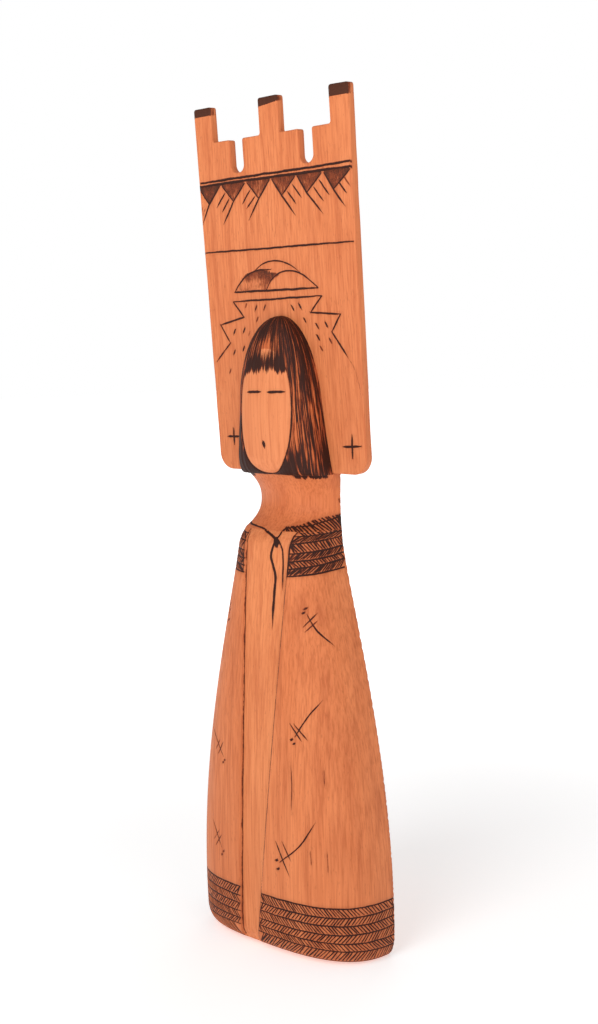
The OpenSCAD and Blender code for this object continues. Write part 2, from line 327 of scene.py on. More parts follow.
# a dense sheet over a flat outline, lifted onto the carved surface and grooved along its strokes
def fillSheet(bm, outline, spacing, lift, strokes=(), groove=0.13, extra=None, shadeAt=None, strandAt=None,
              keepIn=0.45, flip=False, reliefAt=None):
    outline = np.asarray(outline, float)
    lo, hi = outline.min(0), outline.max(0)
    gx = np.arange(lo[0], hi[0] + spacing, spacing)
    gy = np.arange(lo[1], hi[1] + spacing, spacing * 0.87)
    grid = np.array([(x + (spacing / 2 if i % 2 else 0), y) for i, y in enumerate(gy) for x in gx])
    more = [grid, strokePoints(strokes)]
    if extra is not None:
        more.append(extra)
    cloud = np.vstack(more)
    inside, gap = within(cloud, outline)
    cloud = cloud[inside & (gap > keepIn * np.minimum(spacing, 0.5))]
    flat = [Vector(p) for p in outline] + [Vector(p) for p in cloud]
    verts, _, faces = delaunay_2d_cdt(flat, [], [list(range(len(outline)))], 1, 1e-5, False)[:3]
    uq = np.array([(v.x, v.y) for v in verts])
    faces = np.array(faces)[within(uq[np.array(faces)].mean(axis=1), outline)[0]].tolist()
    place = lift(uq)
    du = lift(uq + (0.04, 0)) - lift(uq - (0.04, 0))
    dq = lift(uq + (0, 0.04)) - lift(uq - (0, 0.04))
    normal = np.cross(du, dq)
    normal /= np.maximum(np.linalg.norm(normal, axis=1), 1e-9)[:, None]
    burn, scorch = burnField(uq, strokes)
    depth = groove * burn
    if reliefAt is not None:
        depth = depth + reliefAt(uq)
    place = place - normal * depth[:, None]
    shade = shadeAt(uq) if shadeAt is not None else np.zeros(len(uq))
    strand = strandAt(uq) if strandAt is not None else np.zeros((len(uq), 3))
    layer = {k: bm.verts.layers.float.get(k) or bm.verts.layers.float.new(k)
             for k in ("burn", "scorch", "shade", "strandU", "strandV", "hairy")}
    made = []
    for i in range(len(uq)):
        v = bm.verts.new(place[i] * mm)
        v[layer["burn"]] = burn[i]
        v[layer["scorch"]] = scorch[i]
        v[layer["shade"]] = shade[i]
        v[layer["strandU"]] = strand[i, 0]
        v[layer["strandV"]] = strand[i, 1]
        v[layer["hairy"]] = strand[i, 2]
        made.append(v)
    out = []
    for tri in faces:
        ids = tri if not flip else tri[::-1]
        try:
            out.append(bm.faces.new([made[i] for i in ids]))
        except ValueError:
            pass
    return made, out, uq


# new vertices and edges drawn out from some open edges
def drawnOut(bm, edges):
    grown = bmesh.ops.extrude_edge_only(bm, edges=edges)["geom"]
    return ([g for g in grown if isinstance(g, bmesh.types.BMVert)],
            [g for g in grown if isinstance(g, bmesh.types.BMEdge)])


# normals consistent, and pointing away from the middle of the piece
def turnOutward(bm):
    bmesh.ops.recalc_face_normals(bm, faces=bm.faces)
    middle = sum((v.co for v in bm.verts), Vector()) / len(bm.verts)
    if sum((g.calc_center_median() - middle).dot(g.normal) * g.calc_area() for g in bm.faces) < 0:
        bmesh.ops.reverse_faces(bm, faces=bm.faces)


def finishPiece(bm, name, material, nodes):
    mesh = bpy.data.meshes.new(name)
    for face in bm.faces:
        face.smooth = True
    bm.to_mesh(mesh)
    bm.free()
    piece = bpy.data.objects.new(name, mesh)
    bpy.context.scene.collection.objects.link(piece)
    mesh.materials.append(material)
    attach(piece, "root")
    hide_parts(*nodes)
    print(name, len(mesh.vertices), "points", len(mesh.polygons), "faces", flush=True)
    return piece


# the faces of each region as a piece of its own
def splitPieces(bm, rows):
    for k, (name, node, wood, slot) in enumerate(rows):
        part = bm.copy()
        layer = part.faces.layers.int["region"]
        bmesh.ops.delete(part, geom=[x for x in part.faces if x[layer] != k], context="FACES")
        finishPiece(part, name, woods[wood], [node])
    bm.free()


# a colour written as 0 to 255, in Blender's linear values
def tone(r, g, b):
    out = []
    for c in (r, g, b):
        c = c / 255
        out.append(c / 12.92 if c <= 0.04045 else ((c + 0.055) / 1.055) ** 2.4)
    return (*out, 1.0)


# short ways to add and join nodes in one tree
class Nodes:
    def __init__(self, tree):
        self.tree = tree

    def add(self, kind, inputs=None, **settings):
        node = self.tree.nodes.new(kind)
        for k, v in settings.items():
            setattr(node, k, v)
        for k, v in (inputs or {}).items():
            self.feed(node.inputs[k], v)
        return node

    def feed(self, socket, value):
        if isinstance(value, bpy.types.NodeSocket):
            self.tree.links.new(value, socket)
        else:
            socket.default_value = value

    def math(self, operation, a, b):
        return self.add("ShaderNodeMath", {0: a, 1: b}, operation=operation).outputs[0]

    def plus(self, a, b):
        return self.math("ADD", a, b)

    def times(self, a, b):
        return self.math("MULTIPLY", a, b)

    def swing(self, noise, amount):
        return self.times(self.math("SUBTRACT", noise, 0.5), amount)

    def step(self, value, low, high, toLow=0.0, toHigh=1.0):
        node = self.add("ShaderNodeMapRange", {"Value": value, "From Min": low, "From Max": high,
                                               "To Min": toLow, "To Max": toHigh},
                        interpolation_type="SMOOTHSTEP")
        return node.outputs["Result"]

    def mix(self, factor, a, b):
        node = self.add("ShaderNodeMix", {0: factor, 6: a, 7: b}, data_type="RGBA")
        return node.outputs[2]

    def scaled(self, vector, scale, shift=(0, 0, 0)):
        node = self.add("ShaderNodeVectorMath", {0: vector, 1: scale, 2: shift}, operation="MULTIPLY_ADD")
        return node.outputs[0]

    def noise(self, vector, detail=2.0, rough=0.5):
        node = self.add("ShaderNodeTexNoise", {"Vector": vector, "Scale": 1.0, "Detail": detail,
                                               "Roughness": rough})
        return node.outputs["Fac"]


def newGroup(name, inputs, outputs):
    tree = bpy.data.node_groups.new(name, "ShaderNodeTree")
    for label, kind, value in inputs:
        s = tree.interface.new_socket(label, in_out="INPUT", socket_type="NodeSocket" + kind)
        if value is not None:
            s.default_value = value
    for label, kind in outputs:
        tree.interface.new_socket(label, in_out="OUTPUT", socket_type="NodeSocket" + kind)
    n = Nodes(tree)
    return tree, n, n.add("NodeGroupInput").outputs, n.add("NodeGroupOutput").inputs


def buildWoodGrain():
    tree, n, given, out = newGroup(
        "woodGrain",
        [("Vector", "Vector", None), ("Light", "Color", tone(236, 152, 106)),
         ("Mid", "Color", tone(222, 134, 88)), ("Dark", "Color", tone(186, 98, 60)),
         ("Fine", "Float", 0.5), ("Figure", "Float", 0.5), ("Fleck", "Float", 0.4)],
        [("Color", "Color"), ("Height", "Float"), ("Roughness", "Float")])
    bend = n.noise(n.scaled(given["Vector"], (18, 18, 9)), 2)
    offset = n.add("ShaderNodeCombineXYZ", {0: n.times(bend, 0.004), 1: 0.0, 2: 0.0}).outputs[0]
    place = n.add("ShaderNodeVectorMath", {0: given["Vector"], 1: offset}, operation="ADD").outputs[0]
    fine = n.noise(n.scaled(place, (1500, 1500, 42)), 3, 0.6)
    streak = n.noise(n.scaled(place, (330, 330, 9)), 3, 0.55)
    broad = n.noise(n.scaled(place, (70, 70, 13)), 3, 0.6)
    cloud = n.noise(n.scaled(place, (34, 34, 22), (5, 2, 8)), 2, 0.5)
    fleck = n.step(n.noise(n.scaled(place, (1900, 1900, 420), (7, 3, 1)), 2, 0.5), 0.60, 0.74)
    ring = n.add("ShaderNodeTexWave", {"Vector": n.scaled(place, (210, 120, 5)), "Scale": 1.0,
                                       "Distortion": 3.2, "Detail": 2.0, "Detail Scale": 1.3},
                 wave_type="BANDS", bands_direction="X", wave_profile="SIN").outputs["Fac"]
    c = n.mix(n.times(n.step(broad, 0.32, 0.68), given["Figure"]), given["Mid"], given["Light"])
    c = n.mix(n.times(n.step(streak, 0.42, 0.72), n.times(given["Figure"], 0.8)),
              c, given["Dark"])
    c = n.mix(n.times(n.step(cloud, 0.48, 0.72), n.times(given["Figure"], 0.55)),
              c, n.mix(0.5, given["Mid"], given["Dark"]))
    c = n.mix(n.times(n.step(ring, 0.55, 1.0), n.times(given["Fine"], 0.28)),
              c, given["Dark"])
    c = n.mix(n.times(n.step(fine, 0.45, 0.72), given["Fine"]), c, given["Dark"])
    c = n.mix(n.times(n.step(fine, 0.52, 0.30), n.times(given["Fine"], 0.55)),
              c, given["Light"])
    c = n.mix(n.times(fleck, given["Fleck"]), c, n.mix(0.55, given["Dark"], tone(120, 58, 34)))
    height = n.math("SUBTRACT", n.times(fine, -0.5), n.times(fleck, 0.6))
    n.feed(out["Color"], c)
    n.feed(out["Height"], height)
    n.feed(out["Roughness"], n.step(fine, 0.2, 0.8, 0.50, 0.64))
    return tree


def buildBurntMark():
    tree, n, given, out = newGroup(
        "burntMark",
        [("Vector", "Vector", None), ("Wood", "Color", None), ("Burn", "Float", 0.0), ("Scorch", "Float", 0.0),
         ("Shade", "Float", 0.0)],
        [("Color", "Color"), ("Height", "Float"), ("Mask", "Float")])
    speck = n.noise(n.scaled(given["Vector"], (4200, 4200, 3000)), 2, 0.6)
    slow = n.noise(n.scaled(given["Vector"], (900, 900, 700), (2, 5, 9)), 2, 0.5)
    lean = n.scaled(given["Vector"], (3000, 3000, 520), (1, 8, 4))
    hatch = n.noise(lean, 2, 0.55)
    patch = n.noise(n.scaled(given["Vector"], (420, 420, 300), (4, 4, 1)), 2, 0.5)
    fill = n.plus(n.times(hatch, 0.75), n.times(patch, 0.55))
    level = n.plus(n.times(given["Shade"], 1.15), n.math("SUBTRACT", fill, 1.18))
    shade = n.times(n.step(level, -0.14, 0.22), n.step(given["Shade"], 0.0, 0.12))
    line = n.plus(given["Burn"], n.swing(speck, 0.30))
    line = n.plus(line, n.swing(slow, 0.35))
    mask = n.times(n.step(line, 0.14, 0.58), n.step(given["Burn"], 0.0, 0.08))
    mask = n.math("MAXIMUM", mask, n.times(shade, 0.94))
    mottled = n.plus(level, n.swing(speck, 1.3))
    deep = n.math("MAXIMUM", n.step(line, 0.42, 0.86), n.times(n.step(mottled, 0.0, 0.55), shade))
    ink = n.mix(deep, tone(128, 52, 23), tone(50, 20, 10))
    warm = n.mix(n.times(given["Scorch"], 0.85), given["Wood"],
                 n.mix(0.6, given["Wood"], tone(116, 48, 22)))
    n.feed(out["Color"], n.mix(mask, warm, ink))
    n.feed(out["Height"], n.times(mask, -1.0))
    n.feed(out["Mask"], mask)
    return tree


def buildHairStroke():
    tree, n, given, out = newGroup(
        "hairStroke", [("Across", "Float", 0.0), ("Along", "Float", 0.0), ("Dense", "Float", 0.0)],
        [("Burn", "Float")])
    flow = n.add("ShaderNodeCombineXYZ", {0: given["Across"], 1: given["Along"], 2: 0.0}).outputs[0]
    drift = n.noise(n.scaled(flow, (14, 0.05, 0)), 2)
    across = n.plus(given["Across"], n.swing(drift, 0.05))
    flow = n.add("ShaderNodeCombineXYZ", {0: across, 1: given["Along"], 2: 0.0}).outputs[0]
    lock = n.noise(n.scaled(flow, (9, 0.03, 0)), 2, 0.5)
    strand = n.noise(n.scaled(flow, (34, 0.06, 0)), 1, 0.5)
    thin = n.noise(n.scaled(flow, (84, 0.12, 0), (3, 1, 0)), 2, 0.5)
    body = n.plus(n.times(strand, 0.55), n.times(thin, 0.45))
    body = n.plus(body, n.swing(lock, 0.32))
    level = n.plus(body, n.math("SUBTRACT", given["Dense"], 1.0))
    burn = n.times(n.step(level, -0.11, 0.15), n.step(given["Dense"], 0.02, 0.2))
    n.feed(out["Burn"], burn)
    return tree


woodGrain, burntMark, hairStroke = buildWoodGrain(), buildBurntMark(), buildHairStroke()


def makeWood(name, light, mid, dark, fine=0.5, figureAmount=0.5, fleck=0.35, hair=False, drawn=True, bump=0.35):
    light, mid, dark = tone(*light), tone(*mid), tone(*dark)
    mat = bpy.data.materials.new(name)
    mat.use_nodes = True
    n = Nodes(mat.node_tree)
    shader = mat.node_tree.nodes["Principled BSDF"]
    place = n.add("ShaderNodeTexCoord").outputs["Object"]
    grain = n.add("ShaderNodeGroup", node_tree=woodGrain)
    for key, value in {"Vector": place, "Light": light, "Mid": mid, "Dark": dark, "Fine": fine,
                       "Figure": figureAmount, "Fleck": fleck}.items():
        n.feed(grain.inputs[key], value)
    color, height, rough = (grain.outputs[k] for k in ("Color", "Height", "Roughness"))
    if drawn:
        def read(attribute):
            return n.add("ShaderNodeAttribute", attribute_name=attribute).outputs["Fac"]
        mark = n.add("ShaderNodeGroup", node_tree=burntMark)
        burn = read("burn")
        if hair:
            strokes = n.add("ShaderNodeGroup", node_tree=hairStroke)
            for key, value in {"Across": "strandU", "Along": "strandV", "Dense": "hairy"}.items():
                n.feed(strokes.inputs[key], read(value))
            burn = n.math("MAXIMUM", burn, strokes.outputs["Burn"])
        for key, value in {"Vector": place, "Wood": color, "Burn": burn, "Scorch": read("scorch"),
                           "Shade": read("shade")}.items():
            n.feed(mark.inputs[key], value)
        color = mark.outputs["Color"]
        height = n.plus(n.times(height, 0.5), mark.outputs["Height"])
        rough = n.plus(rough, n.times(mark.outputs["Mask"], 0.08))
    n.feed(shader.inputs["Base Color"], color)
    n.feed(shader.inputs["Roughness"], rough)
    relief = n.add("ShaderNodeBump", {"Height": height, "Strength": bump, "Distance": 0.00025})
    n.feed(shader.inputs["Normal"], relief.outputs[0])
    shader.inputs["Specular IOR Level"].default_value = 0.22
    return mat


woods = {
    "robe": makeWood("robeWood", (230, 139, 88), (213, 120, 71), (172, 84, 46), 0.45, 0.6, 0.3),
    "core": makeWood("panelWood", (236, 148, 95), (221, 131, 80), (188, 96, 54), 0.45, 0.6, 0.25),
    "board": makeWood("boardWood", (226, 138, 88), (212, 122, 74), (178, 88, 49), 0.5, 0.6, 0.35),
    "face": makeWood("faceWood", (230, 145, 96), (220, 132, 83), (190, 100, 58), 0.4, 0.45, 0.2, hair=True),
    "hair": makeWood("hairWood", (216, 122, 70), (190, 90, 46), (138, 56, 28), 0.5, 0.6, 0.3, hair=True,
                     bump=0.6),
    "neck": makeWood("neckWood", (226, 134, 84), (208, 116, 68), (174, 84, 46), 0.45, 0.55, 0.3, hair=True),
    "peg": makeWood("pegWood", (216, 150, 104), (200, 128, 84), (160, 92, 56), 0.6, 0.4, 0.4, drawn=False),
}
print("finishes ready", flush=True)


# the body: the dress core and the two robe halves
body = {
    "grid": 1.15, "edgeR": 0.8, "weld": 0.012, "backGrid": 2.2, "underGrid": 2.4, "slotDeep": 5,
    "hemMiddle": 12, "bandMiddle": 147,  # levels at which the rows' far ends are measured
    "hemLines": ((22.8, 22.2), (19.2, 18.9), (16.3, 15.7), (13.0, 12.3), (10.1, 8.6), (7.3, 5.0), (0.9, 0.8)),
    "bandLines": ((153.5, 154.8), (151.0, 152.8), (147.5, 149.3), (144.7, 146.8), (142.1, 144.6),
                  (139.6, 141.5)),
    "topLine": ((7.2, 156.1), (10.0, 156.4), (12.7, 156.7), (15.1, 156.9), (17.3, 157.8), (18.9, 158.6)),
    "hemSpacing": 1.3, "hemLean": 0.8, "hemWidth": 0.46,
    "bandSpacing": 1.15, "bandLean": 1.05, "bandWidth": 0.54,
}
hemSteps = f["hemRoundH"] * (1 - np.cos(np.linspace(0, math.pi / 2, 16)))
bodyLevels = np.concatenate([hemSteps[:-1], np.linspace(f["hemRoundH"], f["shoulderZ"], 110)])
bodyFront = CarvedFront(bodyLevels, robeHalf, robeDepth, lambda z: f["bodyPower"], lambda z: f["backY"],
                        body["edgeR"])
neckFront = CarvedFront(np.linspace(f["shoulderZ"], f["chinZ"] + 0.15, 60), neckHalf, neckDepth, neckPower,
                        lambda z: f["backY"], body["edgeR"])


# the flat back, from points (x, z)
def onBack(p):
    return np.stack([p[:, 0], f["backY"] + 0 * p[:, 0], p[:, 1]], axis=1)


# the top row of the shoulder band, which crosses from the robe onto the neck
def topRow(onRobe):
    rnd = random.Random(18)
    us, qs = np.array(neckFront.places(body["topLine"])).T
    us, qs = np.append(us, us[-1] + [4, 12]), np.append(qs, qs[-1] + [1.4, 2.4])
    half, top = float(neckFront.halfAt(0.0)), float(bodyFront.q[-1])
    us = us * (half - 0.5) / us[-1]
    out = []
    if not onRobe:
        out.append(stroke(rnd, list(zip(us, qs)), 0.7, 0.95, (0.8, 0.9)))
    u = us[0] + 0.3
    low = body["bandLines"][0]
    start = float(panelEdge(1, bodyFront.qAt(body["bandMiddle"]))) + 0.5
    while u < us[-1] - 0.2:
        t = min(max((u - start) / (half - 0.9 - start), 0), 1)
        above, below = float(np.interp(u, us, qs)), top - float(bodyFront.qAt(low[0] + (low[1] - low[0]) * t))
        reach = 1.5 * (above + below) * rnd.uniform(0.9, 1.1)
        joint = u - reach / 2 + reach * above / (above + below)
        width, hard = body["bandWidth"] * rnd.uniform(0.85, 1.15), rnd.uniform(0.75, 1.0)
        if onRobe and u > start:
            ends = [(joint, top), (min(u + reach / 2, us[-1]), top - below)]
        elif not onRobe:
            ends = [(max(u - reach / 2, us[0] - 0.4), above), (min(joint, us[-1]), 0.0)]
        else:
            ends = None
        if ends:
            out.append(stroke(rnd, ends, width, hard, (0.95, 0.8), wobble=0.04, halo=0.5))
        u += body["bandSpacing"] * rnd.uniform(0.85, 1.15)
    return out


# the two long edges of the dress panel
panelZ = np.linspace(0, f["shoulderZ"], 80)
panelQ = bodyFront.qAt(panelZ)
panelU = {s: np.array([bodyFront.uAt(float(fn(z)), z)[0] for z in panelZ])
          for s, fn in ((-1, panelLeft), (1, panelRight))}


def panelEdge(side, q):
    return np.interp(q, panelQ, panelU[side])


# distance in from the nearer edge of the panel, negative outside it
def insidePanel(uq):
    return np.minimum(uq[:, 0] - panelEdge(-1, uq[:, 1]), panelEdge(1, uq[:, 1]) - uq[:, 0])


# how far the panel lies below the robe, fading out at the shoulder and at the hem
def panelRecess(uq):
    inside = insidePanel(uq)
    z = bodyFront.zAt(uq[:, 1])
    fade = smooth01(z, 154.8, 149.0) * smooth01(z, 0.05, 1.2)
    drop = 0.86 * smooth01(inside, -0.12, 0.12) + 0.14 * smooth01(inside, -0.8, -0.1)
    return f["panelRecess"] * fade * drop


# rows of slanted strokes between level lines whose heights are given beside the panel and at the back
def herringbone(rnd, side, middle, lines, spacing, lean, width, first):
    far = side * (float(bodyFront.halfAt(bodyFront.qAt(middle))) - 0.9)
    out = []

    def near(z):
        return float(panelEdge(side, bodyFront.qAt(z))) + side * 0.35

    def height(k, u):
        t = np.clip((u - near(lines[k][0])) / (far - near(lines[k][0])), 0, 1)
        return lines[k][0] * (1 - t) + lines[k][1] * t
    for k in range(len(lines)):
        us = np.linspace(near(lines[k][0]), far, 24)
        out.append(stroke(rnd, [(u, bodyFront.qAt(height(k, u))) for u in us], width * 1.2, 0.95, (0.8, 0.9),
                          wobble=0.1, halo=0.4))
    for k in range(len(lines) - 1):
        left, right = sorted((near((lines[k][0] + lines[k + 1][0]) / 2), far))
        way = side * first if k % 2 == 0 else -side * first
        u = left + rnd.uniform(0.1, 0.5)
        while u < right:
            top, low = bodyFront.qAt(height(k, u)), bodyFront.qAt(height(k + 1, u))
            reach = lean * max(abs(top - low), 1.4) * rnd.uniform(0.85, 1.15)
            a = (min(max(u + way * reach / 2, left), right), top + rnd.uniform(-0.2, 0.1))
            b = (min(max(u - way * reach / 2, left), right), low + rnd.uniform(0.0, 0.35))
            if abs(a[0] - b[0]) > 0.4 * reach:
                out.append(stroke(rnd, [a, b], width * rnd.uniform(0.85, 1.2), rnd.uniform(0.7, 1.0),
                                  (0.95, 0.4), wobble=0.05, halo=0.5))
            u += spacing * rnd.uniform(0.82, 1.2)
    return out


def bodyStrokes():
    rnd = random.Random(11)
    out = []
    for kind, first in (("hem", -1), ("band", 1)):
        middle, lines, spacing, lean, width = (body[kind + k] for k in (
            "Middle", "Lines", "Spacing", "Lean", "Width"))
        for side in (1, -1):
            out += herringbone(rnd, side, middle, lines, spacing, lean, width, first)
    out += topRow(True)

    def alongPanel(side, off, zs):
        return [(float(panelEdge(side, bodyFront.qAt(z))) + off, float(bodyFront.qAt(z))) for z in zs]
    for side in (1, -1):
        out.append(stroke(rnd, alongPanel(side, side * 0.6, np.linspace(139.6, 154.8, 12)), 0.5, 0.9,
                          (0.9, 0.9)))
    # painted shade: dark lines along the dress panel's step, at the foot of the step on the left and on the
    # robe's lip on the right, standing in for the step's shadow lines; the shallow groove they cut is shape
    for side, off, width in ((-1, 0.24, 0.34), (1, 0.18, 0.42)):  # the long edges of the dress panel
        out.append(stroke(rnd, alongPanel(side, off, np.linspace(1, 154, 60)), width, 0.8, (0.9, 0.9),
                          halo=0.35))
    # neck cord, its knot and the two hanging ends
    for pts, width, hard, ends in (
            ([(-2.2, 155.0), (1.3, 154.0), (3.6, 153.3), (5.0, 152.6)], 0.95, 0.95, (0.7, 0.8)),
            ([(5.9, 154.9), (6.1, 153.9), (5.6, 152.8)], 0.8, 0.9, (0.8, 0.8)),
            ([(5.0, 152.8), (5.9, 151.6), (6.4, 150.2)], 2.1, 1.0, (0.7, 0.6)),
            ([(5.2, 151.4), (4.6, 149.4), (4.1, 146.3), (5.4, 143.0), (6.6, 139.4), (6.5, 132.5), (6.3, 126.7),
              (6.4, 120.6)], 1.1, 1.0, (0.9, 0.1)),
            ([(6.6, 152.4), (7.9, 151.2), (9.1, 148.9), (9.6, 145.4), (9.9, 139.6), (10.1, 134.6)], 0.7, 0.85,
             (0.9, 0.15))):
        out.append(stroke(rnd, bodyFront.places(pts), width, hard, ends, curved=True))
    flies = [  # dragonflies: tail, wings, eyes and how hard they are burnt
        ([(26.4, 114.8), (22.4, 120.9), (19.5, 126.2)], [((18.8, 122.1), (21.8, 126.9)),
         ((19.6, 120.6), (22.2, 124.2))], [(18.8, 128.5), (18.3, 127.0)], 0.8),
        ([(26.3, 96.5), (22.4, 90.4), (18.4, 83.4)], [((16.3, 87.8), (21.0, 81.9)),
         ((18.0, 87.6), (23.1, 82.4))], [(17.1, 82.2), (18.2, 80.9)], 0.85),
        ([(26.6, 53.4), (20.8, 44.3), (12.2, 36.8)], [((10.4, 44.2), (16.2, 32.4)),
         ((13.2, 44.8), (17.1, 38.1))], [(10.6, 37.2), (11.2, 34.1)], 0.85),
        ([(-18.9, 129.8), (-18.3, 126.0), (-17.6, 122.5)], [((-20.0, 124.4), (-16.8, 127.5)),
         ((-19.4, 122.6), (-16.4, 125.6))], [(-17.4, 121.2), (-18.4, 120.8)], 0.6),
        ([(-26.4, 79.4), (-21.6, 75.2), (-17.2, 70.4)], [((-20.8, 70.4), (-17.2, 75.8)),
         ((-22.6, 71.8), (-19.4, 76.4))], [(-16.2, 69.1), (-17.2, 68.1)], 0.65),
        ([(-24.8, 44.9), (-21.4, 39.8), (-18.6, 35.4)], [((-22.6, 35.2), (-18.4, 40.2)),
         ((-23.8, 37.2), (-19.8, 41.8))], [(-17.6, 34.0), (-18.6, 32.6)], 0.6),
    ]
    for tail, wings, eyes, hard in flies:
        out.append(stroke(rnd, bodyFront.places(tail), 0.55, hard, (0.25, 0.8), swell=0.2, curved=True))
        for i, w in enumerate(wings):
            out.append(stroke(rnd, bodyFront.places(w), 0.55, hard * (1.0 if i == 0 else 0.8), (0.5, 0.3)))
        for x, z in eyes:
            dot = bodyFront.places([(x - 0.35, z - 0.2), (x + 0.35, z + 0.2)])
            out.append(stroke(rnd, dot, 0.9, hard, (0.8, 0.8)))
    # a few darker lines in the grain
    for pts, hard in (([(17.1, 74.0), (17.6, 65.9), (17.5, 55.2)], 0.62), ([(28.5, 72.9), (29.0, 66.1)], 0.5),
                      ([(24.8, 43.8), (25.2, 37.2)], 0.42), ([(30.4, 44.3), (30.8, 34.4)], 0.42)):
        out.append(stroke(rnd, bodyFront.places(pts), 0.42, hard, (0.1, 0.1), halo=0.6))
    return out


# the outline of a carved front, counter-clockwise from its lower left corner
def ring(front, spacing):
    top = front.q[-1]
    low = np.linspace(-1, 1, int(2 * front.halfAt(0) / spacing) + 2) * float(front.halfAt(0))
    up = np.linspace(0, top, int(top / spacing) + 2)
    high = np.linspace(1, -1, int(2 * front.halfAt(top) / spacing) + 2) * float(front.halfAt(top))
    right = np.stack([front.halfAt(up), up], axis=1)
    left = np.stack([-front.halfAt(up[::-1]), up[::-1]], axis=1)
    return np.vstack([np.stack([low, 0 * low], 1)[:-1], right[:-1], np.stack([high, top + 0 * high], 1)[:-1],
                      left[:-1]]), up


# glue lines of the robe halves on the flat back
def backStrokes():
    rnd = random.Random(5)
    zs = np.linspace(1, f["shoulderZ"] - 1, 60)
    return [stroke(rnd, [(side * (robeHalf(z) - f["robeT"]), z) for z in zs], 0.26, 0.5, (0.9, 0.9), halo=0.25)
            for side in (-1, 1)]


def buildBody():
    bm = bmesh.new()
    region = bm.faces.layers.int.new("region")
    outline, up = ring(bodyFront, 1.0)
    zs = bodyFront.q[-1] * np.linspace(0, 1, 260)
    edges = np.vstack([np.stack([panelEdge(side, zs) + side * off, zs], axis=1)
                       for side in (-1, 1) for off in (-0.6, -0.12, 0.0, 0.12, 0.42, 0.8)])
    _, _, uq = fillSheet(bm, outline, body["grid"], lambda p: hemLifted(bodyFront.lift(p)), bodyStrokes(), 0.12,
                         extra=edges, reliefAt=panelRecess)
    bm.verts.index_update()
    for face in bm.faces:
        mid = np.mean([uq[v.index] for v in face.verts], axis=0)[None]
        if insidePanel(mid)[0] > 0:
            face[region] = 0
        else:
            face[region] = 1 if mid[0, 0] < panelEdge(-1, mid[0, 1]) else 2
    # flat back, with the slot for the board's tongue
    zsBack = bodyFront.zAt(up)
    w = np.interp(zsBack, bodyFront.z, bodyFront.w) - body["edgeR"]
    slot, slotLow = f["tongueHalf"] + f["slack"], tongueZ - f["slack"]
    low = np.linspace(-w[0], w[0], 60)
    outlineBack = ([(x, 0.0) for x in low[:-1]] + list(zip(w, zsBack))
                   + [(slot, f["shoulderZ"]), (slot, slotLow), (-slot, slotLow), (-slot, f["shoulderZ"])]
                   + list(zip(-w[::-1], zsBack[::-1]))[:-1])
    _, faces, _ = fillSheet(bm, outlineBack, body["backGrid"], onBack, backStrokes(), -0.06, flip=True)
    for face in faces:
        c = face.calc_center_median() / mm
        inner = abs(c.x) < robeHalf(np.array([c.z]))[0] - f["robeT"]
        face[region] = 0 if inner else (1 if c.x < 0 else 2)
    near = 0.01
    wall = [e for e in bm.edges if len(e.link_faces) == 1 and all(
        abs(v.co.x / mm) < slot + near and v.co.z / mm > slotLow - near
        and abs(v.co.y / mm - f["backY"]) < near for v in e.verts)
        and not all(abs(v.co.z / mm - f["shoulderZ"]) < near for v in e.verts)]
    for v in drawnOut(bm, wall)[0]:
        v.co.y -= body["slotDeep"] * mm
    # underside
    bottom = bodyFront.lift(outline[outline[:, 1] == 0])
    under = [(p[0], -p[1]) for p in bottom[::-1]] + [(x, -f["backY"]) for x in low[1:-1]]
    _, faces, _ = fillSheet(bm, under, body["underGrid"], lambda p: hemLifted(np.stack(
        [p[:, 0], -p[:, 1], 0 * p[:, 0]], axis=1)), (), 0.0)
    innerHalf = float(robeHalf(np.array([0.0]))[0]) - f["robeT"]
    innerDepth = float(robeDepth(np.array([0.0]))[0]) - f["robeT"]
    for face in faces:
        c = face.calc_center_median() / mm
        power = f["bodyPower"]
        inside = abs(c.x / innerHalf) ** power + ((f["backY"] - c.y) / innerDepth) ** power < 1
        between = panelLeft(0) < c.x < panelRight(0)
        face[region] = 0 if inside or between else (1 if c.x < 0 else 2)
    bmesh.ops.remove_doubles(bm, verts=bm.verts, dist=body["weld"] * mm)
    turnOutward(bm)
    splitPieces(bm, (("dressPanel", "dress_core", "core", "carved_wood"),
                     ("robeLeft", "robe_left", "robe", "carved_wood"),
                     ("robeRight", "robe_right", "robe", "carved_wood")))


buildBody()


# the headboard, leaning forward over the neck
board = {
    "grid": 1.15, "backGrid": 2.2, "weld": 0.006, "bevel": 0.45, "waver": 0.32,
    "lowHalf": 36.5, "lowRound": 6.5,
    "tip": 12.8, "notch": 24.6, "midTip": 4.9, "midBase": 13.8, "notchOut": 20.0, "sideTip": 9.0,
    "pegs": (7.0, 28.4, 48.2, 69.8), "pegR": 2.05, "holeDeep": 2.0,
}
boardHalf = boardHigh.x / mm
boardTop = (f["topZ"] - tongueZ) / math.cos(f["lean"])
boardLow = (f["chinZ"] + f["slack"] + f["boardT"] * math.sin(f["lean"]) - tongueZ) / math.cos(f["lean"])


def boardPoint(x, h, t):
    c, s = math.cos(f["lean"]), math.sin(f["lean"])
    return np.stack([x, f["backY"] - t * c - h * s, tongueZ + h * c - t * s], axis=1)


